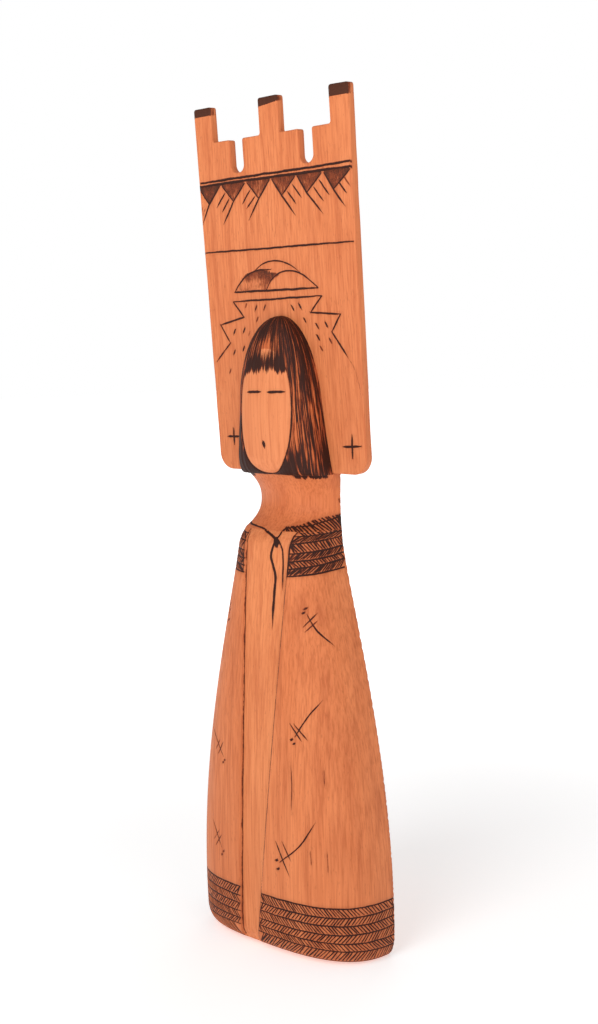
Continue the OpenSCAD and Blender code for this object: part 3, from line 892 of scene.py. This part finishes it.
# points round a closed outline whose corners are (x, height, radius)
def roundedLoop(corners, spacing):
    out = []
    n = len(corners)
    for i, (x, y, r) in enumerate(corners):
        p = np.array([x, y])
        a = np.array(corners[i - 1][:2]) - p
        b = np.array(corners[(i + 1) % n][:2]) - p
        a, b = a / np.hypot(*a), b / np.hypot(*b)
        half = math.acos(max(-1, min(1, float(a @ b)))) / 2
        reach = r / math.tan(half)
        centre = p + (a + b) / np.hypot(*(a + b)) * (r / math.sin(half))
        start, end = p + a * reach - centre, p + b * reach - centre
        angle = math.atan2(start[0] * end[1] - start[1] * end[0], float(start @ end))
        steps = max(3, int(abs(angle) * r / 0.4))
        for k in range(steps + 1):
            t = angle * k / steps
            out.append(centre + (start[0] * math.cos(t) - start[1] * math.sin(t),
                                 start[0] * math.sin(t) + start[1] * math.cos(t)))
    full = []
    for p, q in zip(out, out[1:] + out[:1]):
        m = max(1, int(np.hypot(*(q - p)) / spacing))
        full += [p + (q - p) * k / m for k in range(m)]
    return np.array(full)


# a loop moved inwards by the amount at each of its points
def inset(loop, amount):
    ahead, behind = np.roll(loop, -1, axis=0) - loop, loop - np.roll(loop, 1, axis=0)
    na = np.stack([-ahead[:, 1], ahead[:, 0]], 1) / np.hypot(*ahead.T)[:, None]
    nb = np.stack([-behind[:, 1], behind[:, 0]], 1) / np.hypot(*behind.T)[:, None]
    n = na + nb
    n /= np.maximum((n * na).sum(1), 0.3)[:, None]
    return loop + n * np.reshape(amount, (-1, 1))


def boardOutline():
    rnd = random.Random(3)
    b = board
    step, base, sideTip = boardTop - b["tip"], boardTop - b["notch"], boardHalf - b["sideTip"]
    right = [(f["tongueHalf"], 0, 0.9), (f["tongueHalf"], boardLow, 0.5),
             (b["lowHalf"], boardLow, b["lowRound"]), (boardHalf, boardTop, 1.1), (sideTip, boardTop, 1.0),
             (sideTip, step, 0.8), (b["notchOut"], step, 0.9),
             (b["notchOut"], base, 2.7), (b["midBase"], base, 2.7), (b["midBase"], step, 0.9),
             (b["midTip"], step, 0.8), (b["midTip"], boardTop, 1.0)]
    left = [(-x, y, r) for x, y, r in reversed(right)]
    loop = roundedLoop(right + left, 0.9)
    drift = np.array([rnd.uniform(-1, 1) for _ in range(len(loop))])
    kernel = np.hanning(23) / np.hanning(23).sum()
    drift = np.convolve(np.concatenate([drift[-11:], drift, drift[:11]]), kernel, "valid")
    return inset(loop, 0.12 + board["waver"] * drift)


# where the burnt ends of the three tips begin
def burntFrom(x):
    return boardTop - np.where(x < -20, 3.2, np.where(x > 20, 4.1, 2.8 - 0.11 * x))


def onBoard(points):
    return [(x, boardLow + v) for x, v in points]


# each tooth of the crest: left end, right end, tip, end of its long side, and which side that is;
# this and the signs below have their heights above the board's lower edge
crestTeeth = [(-37.4, -26.7, -32.8, (-36.9, 92.1), -1), (-25.4, -13.8, -20.0, (-25.9, 91.2), -1),
              (-12.6, -1.3, -7.1, (-12.7, 91.9), -1), (-0.2, 11.0, 4.2, (10.1, 91.8), 1),
              (12.1, 23.5, 16.2, (23.2, 91.2), 1), (24.7, 36.4, 28.6, (33.3, 93.0), 1)]
toothTop, toothTip = 105.0, 99.0


def boardStrokes():
    rnd = random.Random(21)
    out = []

    def draw(points, width=0.55, press=0.9, ends=(0.5, 0.4), **more):
        out.append(stroke(rnd, onBoard(points), width * 1.15, press, ends, **more))
    wide = boardHalf - 0.35  # how far the long lines reach
    draw([(-wide, 107.0), (-12, 107.2), (14, 107.3), (wide, 107.7)], 0.75, 0.95, (0.8, 0.8), wobble=0.12)
    draw([(-wide, 105.8), (0, 105.9), (wide, 105.9)], 0.85, 1.0, (0.8, 0.8), wobble=0.12)
    draw([(-wide, 81.5), (-8, 81.2), (wide, 80.9)], 0.6, 0.92, (0.7, 0.7), wobble=0.1)
    for a, b, tip, end, way in crestTeeth:
        near, far = (b, a) if way < 0 else (a, b)  # the long side starts at the near end
        draw([(near, toothTop), (tip, toothTip), end], 0.6, 0.95, (0.8, 0.3))
        draw([(far, toothTop), (tip, toothTip)], 0.5, 0.9, (0.7, 0.7))
    for a, b, hard in (((-24.1, 102.4), (-28.7, 97.6), 0.85), ((-22.1, 100.3), (-26.1, 95.8), 0.85),
                       ((-11.0, 102.5), (-15.5, 97.8), 0.85), ((-9.1, 99.8), (-13.3, 96.1), 0.85),
                       ((7.1, 100.2), (10.7, 95.7), 0.85), ((9.6, 102.3), (13.5, 97.6), 0.9),
                       ((19.5, 100.6), (23.6, 95.7), 0.85), ((22.2, 102.8), (26.5, 97.3), 0.9),
                       ((31.2, 101.1), (34.4, 97.2), 0.85), ((33.4, 103.0), (36.2, 99.4), 0.5),
                       ((-36.2, 98.6), (-37.0, 96.6), 0.4), ((-34.9, 97.8), (-36.9, 94.9), 0.35)):
        draw([a, b], 0.55, hard, (0.5, 0.4))
    draw([(-22.6, 66.3), (18.8, 66.0)], 0.7, 0.97, (0.7, 0.7), wobble=0.1)
    draw([(-22.3, 66.5), (-19.8, 69.2), (-15.6, 72.2), (-9.9, 73.6), (-3.6, 73.6)], 0.55, 0.9, (0.7, 0.5),
         curved=True)
    draw([(-11.2, 73.8), (-7.0, 75.9), (-1.1, 76.6), (5.4, 75.0), (10.7, 71.9)], 0.45, 0.85, (0.6, 0.5),
         curved=True)
    draw([(-6.2, 66.6), (-3.6, 69.8), (1.0, 72.2), (6.4, 72.6), (12.0, 70.9), (18.6, 66.2)], 0.5, 0.9,
         (0.6, 0.7), curved=True)
    draw([(-23.8, 62.8), (20.2, 63.2)], 0.6, 0.95, (0.6, 0.6), wobble=0.1)
    for way, hards in (  # the lightning down each side
            (((-23.8, 62.8), (-18.6, 57.0), (-31.3, 54.5), (-26.7, 47.7), (-34.7, 40.8)),
             (0.85, 0.9, 0.8, 0.75)),
            (((20.2, 63.1), (14.5, 57.6), (28.4, 56.5), (24.0, 50.6), (30.6, 41.6)),
             (0.95, 0.9, 0.97, 0.85))):
        for a, b, hard in zip(way, way[1:], hards):
            draw([a, b], 0.6, hard, (0.85, 0.45))
    draw([(30.6, 41.6), (33.2, 37.8), (35.1, 31.9), (36.0, 24.7)], 0.4, 0.35, (0.7, 0.1), curved=True)
    drops = [(-17.3, 61.1, 0.45), (-12.3, 60.0, 0.75), (-7.9, 60.0, 0.75), (-12.0, 55.9, 0.6),
             (-24.2, 51.8, 0.8), (-19.1, 52.2, 0.9), (-16.5, 51.0, 0.35), (-25.0, 44.1, 0.75),
             (-20.0, 45.4, 0.9), (-27.9, 37.1, 0.6),
             (6.1, 59.3, 0.85), (9.7, 59.9, 0.9), (11.6, 54.9, 0.7), (17.4, 52.6, 0.85), (21.7, 53.0, 0.85),
             (17.5, 48.6, 0.9), (23.2, 47.3, 0.7), (18.7, 44.7, 0.6)]
    for x, v, hard in drops:  # rain
        lean = 0.55 if x < 0 else -0.6
        draw([(x + lean, v + 0.95), (x - lean, v - 0.95)], 0.62, hard, (0.8, 0.35))
    for x, v, r, hard in ((-28.4, 12.6, 3.2, 0.85), (30.2, 10.3, 4.0, 1.0)):  # crosses
        draw([(x - r, v - 0.2), (x + r, v + 0.1)], 0.75, hard, (0.5, 0.5))
        draw([(x + 0.2, v + r), (x - 0.1, v - r)], 0.75, hard, (0.5, 0.5))
    return out


# how darkly an area is filled: the crest teeth, the left cloud and the tips
def boardShade(uq):
    x, v = uq[:, 0], uq[:, 1] - boardLow
    shade = np.zeros(len(uq))
    for k, (a, b, tip, _, _) in enumerate(crestTeeth):
        t = np.clip((v - toothTip) / (toothTop - toothTip), 0, 1)
        inside = np.minimum(x - (tip + (a - tip) * t), tip + (b - tip) * t - x)
        deep = (0.95, 0.78, 0.72, 0.74, 0.78, 0.86)[k]
        rim = np.clip(1 - inside / 1.6, 0, 1)
        level = deep * (0.60 + 0.30 * t + 0.22 * rim)
        shade = np.maximum(shade, np.where((inside > 0) & (v > toothTip) & (v < toothTop + 0.8), level, 0))
    dome = 66.4 + 7.2 * np.sqrt(np.clip(1 - ((x + 9.0) / 13.4) ** 2, 0, 1))
    edgeX = -6.2 + 9.5 * np.clip((v - 66.4) / 6.2, 0, 1) ** 1.6
    inside = (v > 66.4) & (v < dome) & (x < edgeX) & (x > -22.4)
    level = 0.42 + 0.30 * smooth01(v, 69.0, 73.2) + 0.16 * smooth01(x, -12.0, -4.0)
    shade = np.maximum(shade, np.where(inside, level, 0))
    tips = burntFrom(x) - boardLow
    return np.maximum(shade, 1.12 * smooth01(v, tips - 0.12, tips + 0.12))


def buildBoard():
    bm = bmesh.new()
    rim = bm.verts.layers.int.new("rim")
    loop = boardOutline()
    r, thick = board["bevel"], f["boardT"]
    levels = [(r * (1 - math.sin(a)), thick - r * (1 - math.cos(a))) for a in np.radians([0, 30, 60, 90])]
    levels += [(c, thick - t) for c, t in reversed(levels)]
    front = inset(loop, levels[0][0])
    across = np.concatenate([np.arange(-37, -28.8, 0.7), np.arange(-5, 5, 0.7), np.arange(28.8, 37, 0.7)])
    gradient = np.vstack([np.stack([across, burntFrom(across) + d], 1) for d in (-0.15, 0.15, 0.5)])
    fillSheet(bm, front, board["grid"], lambda p: boardPoint(*p.T, thick), boardStrokes(), 0.12,
              extra=gradient, shadeAt=boardShade)
    layer = {k: bm.verts.layers.float[k] for k in ("burn", "scorch", "shade")}
    spots = [boardPoint(*inset(loop, c).T, t) for c, t in levels]
    tree = KDTree(len(loop))
    for i, spot in enumerate(spots[0]):
        tree.insert(Vector(spot) * mm, i)
    tree.balance()
    edges = [e for e in bm.edges if e.is_boundary]
    for v in {v for e in edges for v in e.verts}:
        v[rim] = tree.find(v.co)[1]
    for k in range(1, len(levels)):
        verts, edges = drawnOut(bm, edges)
        for v in verts:
            v.co = Vector(spots[k][v[rim]]) * mm
            if k >= 3:  # past the bevel the drawing stops, and the burnt tips fade
                for name in layer:
                    v[layer[name]] = 0.6 * v[layer[name]] if name == "shade" and k < 5 else 0
    holes = [(board["pegR"] * math.cos(a), h + board["pegR"] * math.sin(a)) for h in board["pegs"]
             for a in np.linspace(0, 2 * math.pi, 28, endpoint=False)]
    _, faces, _ = fillSheet(bm, inset(loop, levels[-1][0]), board["backGrid"], lambda p: boardPoint(*p.T, 0.0),
                            (), 0.0, extra=np.array(holes), flip=True)
    drilled = []
    for face in faces:
        c = face.calc_center_median() / mm
        h = (c.z - tongueZ) / math.cos(f["lean"])
        if any(math.hypot(c.x, h - peg) < board["pegR"] * 0.99 for peg in board["pegs"]):
            drilled.append(face)
    bmesh.ops.delete(bm, geom=drilled, context="FACES")
    bmesh.ops.remove_doubles(bm, verts=bm.verts, dist=board["weld"] * mm)
    rims = [e for e in bm.edges if len(e.link_faces) == 1]
    print("open edges round the peg holes", len(rims), flush=True)
    for v in drawnOut(bm, rims)[0]:
        v.co.y -= board["holeDeep"] * mm
    turnOutward(bm)
    finishPiece(bm, "headboard", woods["board"], ["tablita"])


buildBoard()


# the head: the relief of hair and the face set into it
faceLow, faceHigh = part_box("face")
head = {
    "grid": 0.5, "ovalHalf": faceHigh.x / mm + 0.1, "ovalTall": (faceHigh.z - faceLow.z) / 2 / mm + 0.75,
    "ovalZ": (faceHigh.z + faceLow.z) / 2 / mm - 0.35, "ovalPower": 2.35,
    "fringeZ": 211.7, "eyeZ": 204.9, "mouthZ": 186.2, "chinTall": 8.0, "chinRound": 4.2,
    "eyes": ((-8.0, -0.9, 0.92), (2.3, 10.1, 0.97)),  # left end, right end, how hard it is burnt
}
headLevels = np.unique(np.concatenate([
    f["crownZ"] - headH * (1 - np.sin(np.linspace(0, math.pi / 2 - 0.012, 90))),
    f["chinZ"] + head["chinTall"] * (1 - np.cos(np.linspace(0, math.pi / 2, 16)))]))


# the relief's thickness, rounded off towards the chin
def headDepth(z):
    t = np.clip(1 - (z - f["chinZ"]) / head["chinTall"], 0, 1)
    return hairDepth(z) - head["chinRound"] * (1 - np.sqrt(1 - t * t))


headFront = CarvedFront(headLevels, hairHalf, headDepth, lambda z: f["headPower"],
                        lambda z: f["backY"] - boardFront(z) + 0.03)


# distance from the face's oval, negative inside it
def ovalGap(x, z):
    a, b = head["ovalHalf"], head["ovalTall"]
    px, pz = x / a, (z - head["ovalZ"]) / b
    n = head["ovalPower"]
    rho = np.maximum((np.abs(px) ** n + np.abs(pz) ** n) ** (1 / n), 1e-6)
    return (rho - 1) * rho * a * b / np.maximum(np.hypot(px * b, pz * a), 1e-6)


# a point on the face's oval at angle t
def ovalPoint(t, grow=0.0):
    c, s, n = math.cos(t), math.sin(t), head["ovalPower"]
    return ((head["ovalHalf"] + grow) * math.copysign(abs(c) ** (2 / n), c),
            head["ovalZ"] + (head["ovalTall"] + grow) * math.copysign(abs(s) ** (2 / n), s))


# how deep the face lies behind the hair, and the furrows between locks
def headRelief(uq):
    p = headFront.lift(uq)
    x, z = p[:, 0], p[:, 2]
    gap = ovalGap(x, z)
    low = smooth01(z, head["fringeZ"] + 1.5, head["fringeZ"] - 1.5)
    c = uq[:, 0] / np.maximum(headFront.halfAt(uq[:, 1]), 0.5)
    broad = np.sin(c * 41 + 1.7 * np.sin(c * 13)) * 0.5
    lock = broad + 0.5 * np.sin(c * 97 + 2.1 * np.sin(c * 23 + uq[:, 1] * 0.06))
    hairy = np.maximum(smooth01(gap, 0.3, 1.2), smooth01(z, head["fringeZ"], head["fringeZ"] + 2))
    ripple = 0.11 * lock * hairy
    return 0.24 * np.exp(-(gap / 0.34) ** 2) * low + 0.05 * low * (gap < 0) + ripple


# for the hair's strokes: place across, place along, and how densely they stand
def headStrand(uq):
    p = headFront.lift(uq)
    x, z = p[:, 0], p[:, 2]
    gap = ovalGap(x, z)
    c = uq[:, 0] / np.maximum(headFront.halfAt(uq[:, 1]), 0.4)
    down = headFront.q[-1] - uq[:, 1]
    crown = smooth01(z, 214, 226)
    inner = np.exp(-(gap / 3.4) ** 2) * smooth01(z, 212, 204) * smooth01(z, 180, 186)
    ends = smooth01(z, 185, 178.5) * smooth01(x, 16, 9)
    outside = 0.57 + 0.05 * crown - 0.06 * inner + 0.14 * ends
    outside = outside + 0.12 * smooth01(x, -6, -8) * smooth01(z, 200, 188)
    pale = 0.19 * np.exp(-((z - 221.0) / 3.4) ** 2) * np.exp(-((x - 0.2) / 3.6) ** 2)
    low = head["fringeZ"] - 0.011 * (x - 2.0) ** 2 + 0.5 * np.sin(1.9 * x + 1) * np.sin(0.7 * x)
    fringe = 0.68 * smooth01(z, low - 3.4, low + 3.2) - pale
    side = smooth01(gap, -0.25, 0.25)
    above = smooth01(z, head["fringeZ"] + 3, head["fringeZ"] + 8)
    outside = outside - pale
    dense = side * outside + (1 - side) * (fringe * (1 - above) + outside * above)
    return np.stack([c, down, np.clip(dense, 0, 1.3)], axis=1)


def headStrokes():
    rnd = random.Random(8)
    on, eyeZ, mouthZ = headFront.places, head["eyeZ"], head["mouthZ"]
    turn = np.linspace(math.radians(42), math.radians(-222), 90)
    out = [stroke(rnd, on([ovalPoint(t) for t in turn]), 0.62, 0.92, (0.5, 0.5), wobble=0.06, halo=0.35)]
    for left, right, hard in head["eyes"]:
        out.append(stroke(rnd, on([(left, eyeZ), ((left + right) / 2, eyeZ + 0.1), (right, eyeZ + 0.1)]),
                          1.0, hard, (0.45, 0.4), swell=0.1))
    out.append(stroke(rnd, on([(-0.35, mouthZ + 1.3), (0.1, mouthZ), (0.35, mouthZ - 1.2)]),
                      1.45, 0.95, (0.45, 0.45), swell=0.2))
    return out


def buildHead():
    bm = bmesh.new()
    region = bm.faces.layers.int.new("region")
    outline, _ = ring(headFront, 0.5)
    turn = np.linspace(0, 2 * math.pi, 260, endpoint=False)
    rims = [ovalPoint(t, grow) for grow in (-0.5, -0.2, 0, 0.2, 0.5) for t in turn]
    oval = np.array(headFront.places([p for p in rims if p[1] > f["chinZ"] + 0.25]))
    made, faces, _ = fillSheet(bm, outline, head["grid"], headFront.lift, headStrokes(), 0.1, extra=oval,
                               strandAt=headStrand, reliefAt=headRelief)
    for face in faces:
        c = face.calc_center_median() / mm
        face[region] = 1 if ovalGap(np.array([c.x]), np.array([c.z]))[0] < 0 else 0
    rest = [v for v in made if v.is_boundary]
    low = sorted((v for v in rest if abs(v.co.z / mm - f["chinZ"]) < 0.02), key=lambda v: v.co.x)
    high = sorted((v for v in rest if v.co.z / mm > f["crownZ"] - 0.06), key=lambda v: v.co.x)
    for row in (low, high):
        if len(row) > 2:
            bm.faces.new(row)
    turnOutward(bm)
    splitPieces(bm, (("hairRelief", "hair", "hair", "burnt_wood"), ("faceOval", "face", "face", "carved_wood")))


buildHead()


# the neck between the shoulders and the chin, with the hair's ends hanging onto it
def neckStrand(uq):
    p = neckFront.lift(uq)
    x, z = p[:, 0], p[:, 2]
    c = uq[:, 0] / np.maximum(neckFront.halfAt(uq[:, 1]), 0.5)
    hang = smooth01(z, f["chinZ"] - 3.2, f["chinZ"] - 0.4) * np.maximum(
        smooth01(x, 5, 10) * smooth01(x, 19.7, 18.6), smooth01(x, -9, -12) * smooth01(x, -19.7, -18.6))
    return np.stack([c, 60 + f["chinZ"] - z, 0.66 * hang], axis=1)


def neckStrokes():
    rnd = random.Random(14)
    cord = ([(-18.4, 156.8), (-14.3, 156.3), (-9.9, 156.0), (-4.8, 155.6), (-1.8, 155.02)],
            [(5.9, 155.05), (6.3, 155.9), (7.6, 156.15)])
    out = [stroke(rnd, neckFront.places(cord[0]), 0.8, 0.97, (0.7, 0.9), curved=True),
           stroke(rnd, neckFront.places(cord[1]), 0.7, 0.95, (0.9, 0.9), curved=True)]
    half = float(neckFront.halfAt(13.0))
    out += topRow(False)
    out.append(stroke(rnd, [(half - 1.6, 14.0), (half - 1.1, 12.2)], 0.8, 0.5, (0.3, 0.3)))
    return out


def buildNeck():
    bm = bmesh.new()
    outline, up = ring(neckFront, 0.8)
    fillSheet(bm, outline, 0.9, neckFront.lift, neckStrokes(), 0.1, strandAt=neckStrand)
    zs = neckFront.zAt(up)
    w = np.interp(zs, neckFront.z, neckFront.w) - body["edgeR"]
    slot = f["tongueHalf"] + f["slack"]
    for side in (1, -1):
        rim = list(zip(side * w, zs))
        strip = [(side * slot, zs[0])] + rim + [(side * slot, zs[-1])]
        fillSheet(bm, strip if side > 0 else strip[::-1], 1.6, onBack, (), 0.0, flip=True)
    bmesh.ops.remove_doubles(bm, verts=bm.verts, dist=body["weld"] * mm)
    wall = [e for e in bm.edges if len(e.link_faces) == 1
            and all(abs(abs(v.co.x / mm) - slot) < 0.02 and v.co.y / mm > f["backY"] - 0.01 for v in e.verts)]
    for v in drawnOut(bm, wall)[0]:
        v.co.y -= 6 * mm  # the slot's walls go in behind the tongue
    turnOutward(bm)
    finishPiece(bm, "neckBlock", woods["neck"], ["neck"])


buildNeck()

for peg in ("hair_pegs", "tongue_pegs", "robe_pegs"):
    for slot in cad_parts[peg].material_slots:
        slot.material = woods["peg"]


# camera, floor and light
view = {"azimuth": 42.80, "elevation": 6.34, "roll": 1.30, "eye": (358.9, -374.5, 218.8), "lens": 50.55}


def addCamera():
    a, e, r = (math.radians(view[k]) for k in ("azimuth", "elevation", "roll"))
    back = Vector((math.sin(a) * math.cos(e), -math.cos(a) * math.cos(e), math.sin(e)))
    right = Vector((math.cos(a), math.sin(a), 0))
    up = back.cross(right)
    x = right * math.cos(r) - up * math.sin(r)
    y = up * math.cos(r) + right * math.sin(r)
    data = bpy.data.cameras.new("camera")
    data.lens, data.sensor_width, data.clip_start = view["lens"], 36, 0.01
    camera = bpy.data.objects.new("camera", data)
    rows = [(x[i], y[i], back[i], view["eye"][i] * mm) for i in range(3)]
    camera.matrix_world = Matrix(rows + [(0, 0, 0, 1)])
    bpy.context.scene.collection.objects.link(camera)
    bpy.context.scene.camera = camera


studio = {
    "sky": 0.37, "floorNear": 0.42, "floorFades": (0.1, 0.7),
    "lamps": (("keyLight", (0.15, -0.9, 0.75), 0.7, 5.2), ("fillLight", (0.9, -0.35, 0.35), 0.6, 1.6),
              ("backLight", (-0.5, 0.9, 0.7), 0.7, 1.4)),  # name, place, size, power
}


def addArea(name, place, size, power):
    data = bpy.data.lights.new(name, "AREA")
    data.shape, data.size, data.energy = "DISK", size, power
    lamp = bpy.data.objects.new(name, data)
    lamp.location = place
    lamp.rotation_euler = (Vector((0, 0, 0.15)) - Vector(place)).to_track_quat("-Z", "Y").to_euler()
    bpy.context.scene.collection.objects.link(lamp)


def addStudio():
    world = bpy.data.worlds.new("studio")
    bpy.context.scene.world = world
    world.use_nodes = True
    n = Nodes(world.node_tree)
    background = world.node_tree.nodes["Background"]
    seen = n.add("ShaderNodeLightPath").outputs["Is Camera Ray"]
    n.feed(background.inputs["Color"], (1, 1, 1, 1))
    n.feed(background.inputs["Strength"], n.step(seen, 0, 1, studio["sky"], 1.0))
    for lamp in studio["lamps"]:
        addArea(*lamp)
    bm = bmesh.new()
    bmesh.ops.create_grid(bm, x_segments=4, y_segments=4, size=6)
    mesh = bpy.data.meshes.new("floor")
    bm.to_mesh(mesh)
    bm.free()
    floor = bpy.data.objects.new("floor", mesh)
    bpy.context.scene.collection.objects.link(floor)
    pale = bpy.data.materials.new("paleFloor")
    pale.use_nodes = True
    shader = pale.node_tree.nodes["Principled BSDF"]
    shader.inputs["Base Color"].default_value = (0.9, 0.9, 0.9, 1)
    shader.inputs["Roughness"].default_value = 0.9
    shader.inputs["Specular IOR Level"].default_value = 0.0
    n = Nodes(pale.node_tree)
    place = n.add("ShaderNodeTexCoord").outputs["Object"]
    far = n.add("ShaderNodeVectorMath", {0: place}, operation="LENGTH").outputs["Value"]
    near = (studio["floorNear"],) * 3 + (1,)
    n.feed(shader.inputs["Emission Color"], n.mix(n.step(far, *studio["floorFades"]), near, (1, 1, 1, 1)))
    shader.inputs["Emission Strength"].default_value = 1.0
    mesh.materials.append(pale)
    bpy.context.scene.view_settings.view_transform = "Standard"


addCamera()
addStudio()
